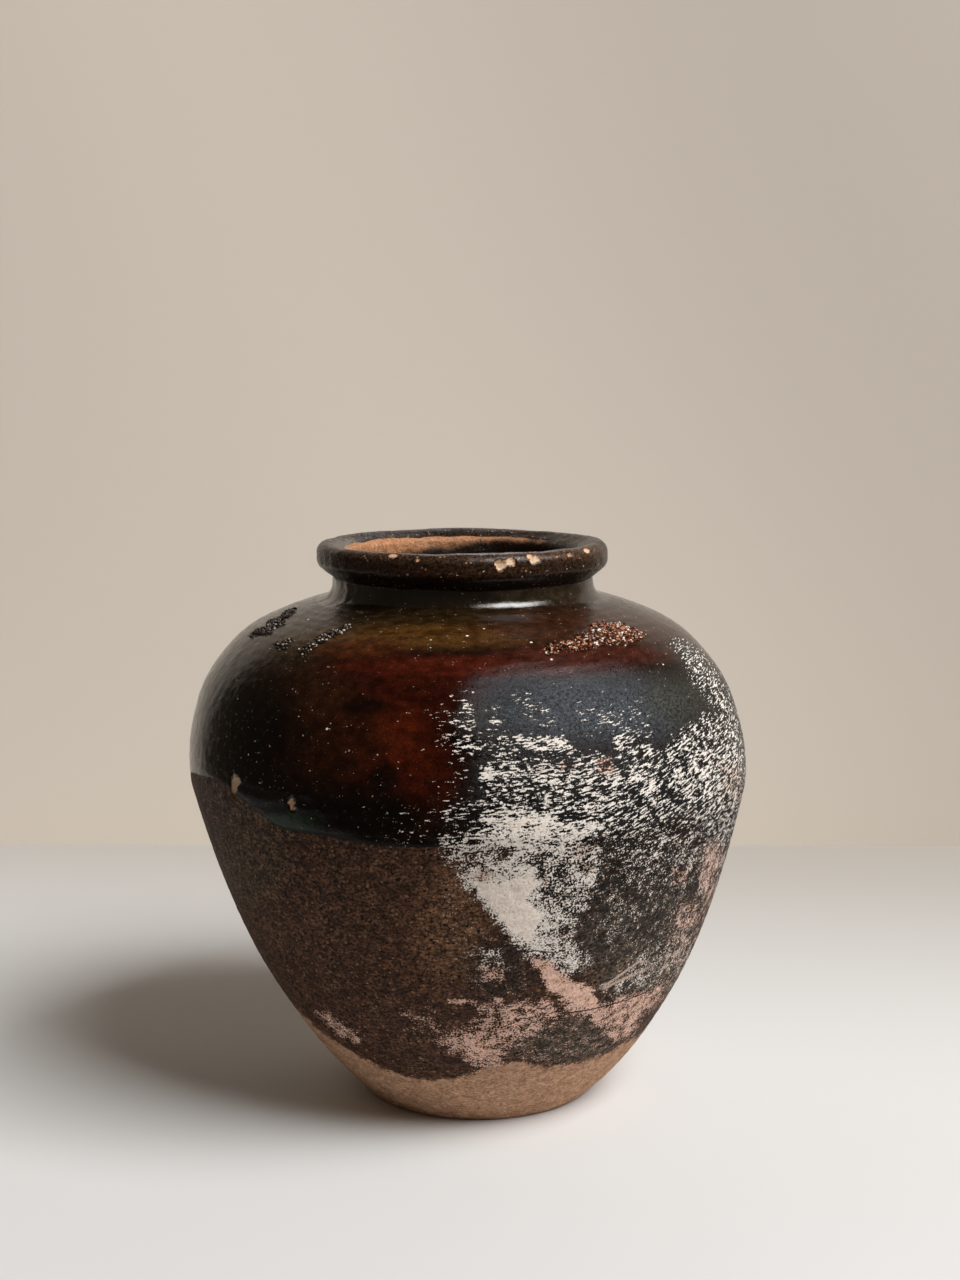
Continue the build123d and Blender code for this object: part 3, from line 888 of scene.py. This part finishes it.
def skin(name, specular):
    """The jar's outside: clay under slip, slip worn to pink clay, glaze over it and lime crust on top."""
    shader = Shader(name)
    mix, blend, shade, step, times = shader.mix, shader.blend, shader.shade, shader.step, shader.times
    place, tint, slip_tint_and_mouth_shade = (shader.colour(layer) for layer in ("place", "tint", "slip_tint_and_mouth_shade"))
    glaze_reach, slip_reach, lime = shader.vector("reach")
    pink, satin, chip = shader.vector("wear")
    stain, warm, streaky = shader.vector("stain")
    fine = shader.noise(place, (0.9, 0.9, 0.9))
    blotch = shader.noise(place, (6.0, 6.0, 5.0))
    stroke = shader.noise(place, (3.8, 3.8, 1.0), rough=0.62)
    gritty = shader.noise(place, (1.6, 1.6, 1.4), 4.0, 0.75)
    # Pale specks and dots on the glaze: partly dust and pale flecks, partly painted glints
    dust_and_glints, dots_and_glints = shader.specks(place, 4.5, 0.5, 0.22), shader.specks(place, 8.0, 0.95, 0.24)
    pores = shader.specks(place, 3.1, 0.95, 0.45)
    glazed = step(shader.sum((glaze_reach, 1.0), (blotch, 0.12), (fine, 0.1)), 0.095, 0.125)
    slipped = step(shader.sum((slip_reach, 1.0), (fine, 0.3), (blotch, 0.3)), 0.26, 0.34)
    strokes = shader.sum((stroke, 1.0), (fine, 0.42), (blotch, 0.3), (1.0, -0.885))
    patches = shader.sum((stroke, 0.25), (fine, 0.9), (blotch, 0.45), (1.0, -0.82))
    crust = shader.sum((lime, SHARE_WEIGHT), (blend(streaky, patches, strokes), 1.0))
    crusted = step(crust, -0.004, 0.01)
    worn = step(shader.sum((pink, SHARE_WEIGHT), (patches, 1.0)), -0.008, 0.016)
    chipped = step(chip, 0.15, 0.4)
    # Clay, darker in its hollows; the mouth's clay, with its painted light and shade, and the slip share a layer
    clay_colour = mix(warm, mix(step(blotch, 0.35, 0.65), CLAY, CLAY_DARK), slip_tint_and_mouth_shade)
    clay_colour = shade(clay_colour, (gritty, 0.36, 0.64, 0.62, 1.35))
    # Gritty slip with pale grains and pores, and the clay where it has worn off
    clouds = (stroke, 0.3, 0.7, 0.55, 1.5), (blotch, 0.35, 0.65, 0.65, 1.4)
    slip_colour = shade(slip_tint_and_mouth_shade, (gritty, 0.36, 0.64, 0.1, 2.7), *clouds)
    slip_colour = mix(shader.specks(place, 2.3, 0.85, 0.36), slip_colour, SLIP_GRAIN)
    slip_colour = mix(pores, slip_colour, PORE)
    worn_colour = shade(mix(step(blotch, 0.36, 0.52), WORN, PINK), (gritty, 0.36, 0.64, 0.72, 1.2))
    # Glaze, darker and lighter in clouds, grainy where it is satin, its bright grains partly a painted sparkle,
    # speckled on the rim
    cloudy_colour = shade(tint, (blotch, 0.3, 0.7, 0.55, 1.5), (fine, 0.3, 0.7, 0.7, 1.35))
    satin_and_sheen_colour = shade(tint, (gritty, 0.38, 0.62, 0.04, 3.2))
    rim_colour = shade(tint, (gritty, 0.38, 0.64, 0.25, 2.6))
    rim_colour = mix(shader.specks(place, 2.2, 0.65, 0.36), rim_colour, RIM_SPECK)
    glaze_colour = mix(warm, mix(satin, cloudy_colour, satin_and_sheen_colour), rim_colour)
    # Lime crust, thin at its edges, pink over worn clay and rusty in places
    lime_colour = mix(step(lime, 0.25, 0.6), FLECK, LIME)
    lime_colour = mix(step(crust, 0.0, 0.025), LIME_THIN, lime_colour)
    lime_colour = shade(lime_colour, (gritty, 0.34, 0.6, 0.8, 1.08))
    lime_colour = mix(step(pink, -0.6, 0.6), lime_colour, PINK)
    lime_colour = mix(times(stain, step(fine, 0.4, 0.7)), lime_colour, RUST)
    chip_colour = mix(step(shader.sum((chip, 1.0), (fine, 0.9)), 0.75, 1.2), CHIP_EDGE, CHIP)
    pale_line = times(shader.line("pale_scratch", 0.08), step(fine, 0.3, 0.5))
    dark_line = times(shader.line("dark_scratch", 0.035), step(fine, 0.3, 0.4))
    colour = mix(slipped, clay_colour, slip_colour)
    colour = mix(glazed, colour, glaze_colour)
    colour = mix(worn, colour, worn_colour)
    # The gaps between the flecks of the upper bands are nearly black
    gaps = times(step(lime, -0.45, -0.1), streaky)
    colour = shade(colour, (gaps, 0.0, 1.0, 1.0, 0.08))
    for share, over in (
        (crusted, lime_colour), (pale_line, PALE_CLAY), (dark_line, SCRATCH), (times(dust_and_glints, glazed), DUST_AND_GLINT),
        (times(dots_and_glints, glazed), FLECK), (chipped, chip_colour),
    ):
        colour = mix(share, colour, over)
    dull = blend(step(lime, -0.5, -0.1), step(fine, 0.35, 0.65, 0.22, 0.58), 0.2)
    gloss = blend(satin, step(blotch, 0.3, 0.7, 0.07, 0.2), dull)
    rough = blend(glazed, blend(slipped, CLAY_ROUGHNESS, 0.66), gloss)
    rough = blend(warm, rough, step(fine, 0.35, 0.65, 0.18, 0.5))
    for share, over in ((crusted, 0.9), (worn, CLAY_ROUGHNESS), (chipped, CLAY_ROUGHNESS)):
        rough = blend(share, rough, over)
    shader.surface.inputs["Specular IOR Level"].default_value = specular
    rubble = blend(glazed, 1.0, blend(satin, 0.16, 0.9))
    grit = times(gritty, rubble)
    shader.bump(shader.sum((crusted, 0.35), (grit, 1.2), (worn, -0.2), (pores, -0.6), (dots_and_glints, 0.6)), 0.55)
    return shader.coated(colour, rough)


def bare_clay():
    """Fired clay without glaze, inside the jar."""
    shader = Shader("bare_clay")
    place = shader.colour("place")
    streak = shader.noise(place, (20.0, 20.0, 1.6))
    fine = shader.noise(place, (1.2, 1.2, 1.2))
    shader.bump(shader.sum((streak, 0.5), (fine, 0.5)), 0.4)
    clouds = (streak, 0.3, 0.7, 0.7, 1.3), (fine, 0.2, 0.8, 0.8, 1.2)
    return shader.coated(shader.shade(shader.colour("slip_tint_and_mouth_shade"), *clouds), CLAY_ROUGHNESS)


def grit_skin():
    """Fused grains of kiln grit."""
    shader = Shader("kiln_grit")
    where = shader.add("ShaderNodeTexCoord").outputs["Object"]
    fine = shader.noise(where, (0.0004, 0.0004, 0.0004), 2.0)
    return shader.coated(shader.shade(shader.colour("tint"), (fine, 0.3, 0.7, 0.7, 1.3)), 0.2)


# The glazed pieces shine; slip and bare clay are matt
NECK_SKIN = skin("neck_skin", 0.65)
RIM_SKIN = skin("rim_skin", 0.3)
SKIN = skin("glazed_skin", 0.24)
MATT_SKIN = skin("slip_skin", 0.12)
BARE = bare_clay()
GRIT = grit_skin()


def put_inside_material(thing, rows, inner_rows):
    """Gives the faces that start on inner rows the bare clay."""
    thing.data.materials.append(BARE)
    for row in inner_rows:
        first = rows.index(row) * COLUMNS
        for face in thing.data.polygons[first : first + COLUMNS]:
            face.material_index = 1


def jar_pieces():
    """The five pieces of the jar's wall, in the order that they are built up."""
    base = ring_piece("jar_base", rows_of("underside", "foot"), MATT_SKIN, closed_by_poles=True)
    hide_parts("base_slab")
    layout = [
        ("jar_lower_wall", ["lower"], ["lower_inside"], ["lower_wall", "slip_coat"], "slip", MATT_SKIN),
        ("jar_upper_wall", ["upper"], ["upper_inside"], ["upper_wall", "glaze_coat"], "glaze", SKIN),
        ("jar_neck", ["neck"], ["bore"], ["neck_collar"], "glaze", NECK_SKIN),
        ("jar_rim", ["rim"], [], ["rim_roll"], "glaze", RIM_SKIN),
    ]
    pieces = [base]
    for name, outer, inner, nodes, slot, material in layout:
        rows = rows_of(*outer, *inner)
        piece = ring_piece(name, rows, material)
        if inner:
            put_inside_material(piece, rows, rows_of(*inner)[1:])
        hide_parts(*nodes)
        pieces.append(piece)
    return pieces


def grain_shape():
    """A unit icosahedron's points and triangles."""
    golden = (1 + math.sqrt(5)) / 2
    points = []
    for a, b in product((-1, 1), (-golden, golden)):
        points += [(0, a, b), (a, b, 0), (b, 0, a)]
    points = np.array(points, float) / math.hypot(1, golden)
    faces, edge = [], 2 / math.hypot(1, golden) * 1.01
    for i, j, k in combinations(range(len(points)), 3):
        sides = [np.linalg.norm(points[p] - points[q]) for p, q in ((i, j), (j, k), (i, k))]
        if max(sides) < edge:
            out = np.cross(points[j] - points[i], points[k] - points[i]) @ points[i]
            faces.append((i, j, k) if out > 0 else (i, k, j))
    return points, np.array(faces)


def grit_piece(name, outlines, grains, seed):
    """One patch of fused grains, where the photograph shows it on the shoulder."""
    rng = np.random.default_rng(seed)
    rows = slice(*RANGES["upper"])
    surface, normals = POINTS[rows], NORMALS[rows]
    column, row = photo_pixels(surface)
    near = (surface[..., 1] < 0) & (surface[..., 2] > GRIT_LOWEST)
    inside = np.max([outline_distance(column, row, outline) for outline in outlines], axis=0)
    spots = np.argwhere(near & (inside > -0.6))
    grain, triangles = grain_shape()
    colours, chances = np.split(np.array(grains), [3], axis=1)
    points, faces, tints = [], [], []
    for number in range(len(spots) * GRAINS_PER_SPOT):
        spot = tuple(spots[number // GRAINS_PER_SPOT])
        size = rng.uniform(0.35, 0.95) * (1.0 if inside[spot] > 2 else 0.75)
        bend = rng.uniform(0.7, 1.2, (len(grain), 1))
        squash = np.array([rng.uniform(0.7, 1.3), rng.uniform(0.7, 1.3), rng.uniform(0.7, 1.1)])
        aside = rng.normal(0, 0.6, 3)
        aside -= normals[spot] * (aside @ normals[spot])
        centre = surface[spot] + normals[spot] * rng.uniform(0.0, 0.7) + aside
        points.append(centre + grain * bend * squash * size)
        faces.append(triangles + number * len(grain))
        shade = rng.uniform(0.7, 1.3)
        tint = colours[rng.choice(len(grains), p=chances[:, 0])] / 1000 * shade
        tints.append(np.tile(tint, (len(grain), 1)))
    thing = add_object("grit_" + name[10:], np.concatenate(points), np.concatenate(faces).tolist(), GRIT)
    thing.data.polygons.foreach_set("use_smooth", [False] * len(thing.data.polygons))
    store_layer(thing.data, "tint", np.concatenate(tints))
    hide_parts(name)
    return thing


pieces = jar_pieces()
for seed, (name, patch) in enumerate(GRIT_PATCHES.items(), 100):
    pieces.append(grit_piece(name, *patch, seed))
for piece in pieces:
    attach(piece, "root")


def shade_graded_material(name, near, far, turn, rough):
    """One colour that changes slowly into another along a direction across the stage, given per metre: a painted
    shade.
    """
    shader = Shader(name)
    place = shader.parts(shader.add("ShaderNodeTexCoord").outputs["Object"])
    share = shader.step(shader.sum(*zip(place, turn)), 0, 1)
    return shader.coated(shader.mix(share, near, far), rough)


def either(tree, choice, first, second):
    """The first shader where a choice is 0, and the second where it is 1."""
    node = tree.nodes.new("ShaderNodeMixShader")
    for value, socket in zip((choice, first, second), node.inputs):
        tree.links.new(value, socket)
    return node.outputs[0]


def one_sided(material):
    """Lets a view from behind look through a sheet."""
    tree = material.node_tree
    surface = next(node for node in tree.nodes if node.type == "OUTPUT_MATERIAL").inputs["Surface"]
    behind = tree.nodes.new("ShaderNodeNewGeometry").outputs["Backfacing"]
    clear = tree.nodes.new("ShaderNodeBsdfTransparent").outputs[0]
    tree.links.new(either(tree, behind, surface.links[0].from_socket, clear), surface)
    return material


def flat_sheet(name, bottom, top, material):
    """A flat stage surface between two level edges, each given by its y and z in millimetres."""
    corners = [(x, *edge) for edge, xs in ((bottom, (-1, 1)), (top, (1, -1))) for x in np.array(xs) * FLOOR_HALF]
    add_object(name, corners, [[0, 1, 2, 3]], material)


def soft_light(name, azimuth, elevation, distance, size, watts, colour):
    """An area light that looks at the jar. Azimuth, in degrees, runs from the camera's side towards +X."""
    azimuth, elevation = math.radians(azimuth), math.radians(elevation)
    light = bpy.data.lights.new(name, "AREA")
    light.shape = "RECTANGLE"
    light.size, light.size_y = size[0] * MM, size[1] * MM
    light.energy, light.color = watts, colour
    level = distance * math.cos(elevation)
    spot = np.array([level * math.sin(azimuth), -level * math.cos(azimuth), distance * math.sin(elevation)])
    place = spot * MM + np.array([0, 0, HEIGHT / 2 * MM])
    put(name, light, place, (math.pi / 2 - elevation, 0, azimuth))


FLOOR_HALF = 700.0
FLOOR_FRONT = -300.0
BACKDROP_HEIGHT = 680.0
ROOM_LIGHT = (1.0, 0.78, 0.56, 1.0)
ROOM_STRENGTH = 0.09
ROOM_SEEN = (0.52, 0.46, 0.4, 1.0)
# The floor darkens towards the back and the right, and the backdrop towards the right and the top: painted shade
floor_material = shade_graded_material("floor", (0.71, 0.715, 0.72), (0.41, 0.39, 0.36), (0.4, 1.6, 0.0), 0.8)
wall_material = shade_graded_material("backdrop", (0.76, 0.69, 0.61), (0.55, 0.5, 0.44), (1.8, 0.0, 0.8), 0.9)
flat_sheet("floor", (FLOOR_FRONT, 0), (WALL_BEHIND, 0), floor_material)
flat_sheet("backdrop", (WALL_BEHIND, 0), (WALL_BEHIND, BACKDROP_HEIGHT), one_sided(wall_material))

soft_light("key", 56, 49, 4000.0, (2400.0, 2000.0), 225.0, (1.0, 0.985, 0.965))
soft_light("high_back", 176, 42, 2200.0, (520.0, 320.0), 6.0, (0.78, 0.88, 1.0))

world = bpy.data.worlds.new("studio")
world.use_nodes = True
tree = world.node_tree
lit, seen = tree.nodes["Background"], tree.nodes.new("ShaderNodeBackground")
lit.inputs["Color"].default_value = ROOM_LIGHT
lit.inputs["Strength"].default_value = ROOM_STRENGTH
seen.inputs["Color"].default_value = ROOM_SEEN
direct = tree.nodes.new("ShaderNodeLightPath").outputs["Is Camera Ray"]
tree.links.new(either(tree, direct, lit.outputs[0], seen.outputs[0]), tree.nodes["World Output"].inputs[0])
bpy.context.scene.world = world

lens = bpy.data.cameras.new("photo_camera")
lens.sensor_width = 36.0
lens.sensor_fit = "AUTO"
lens.lens = lens.sensor_width * FOCAL_PIXELS / PHOTO_HEIGHT
lens.clip_start = 0.01
turn = (math.pi / 2 - CAMERA_PITCH, 0, 0)
bpy.context.scene.camera = put("photo_camera", lens, np.array(CAMERA_PLACE) * MM, turn)
bpy.context.scene.view_settings.view_transform = "Standard"
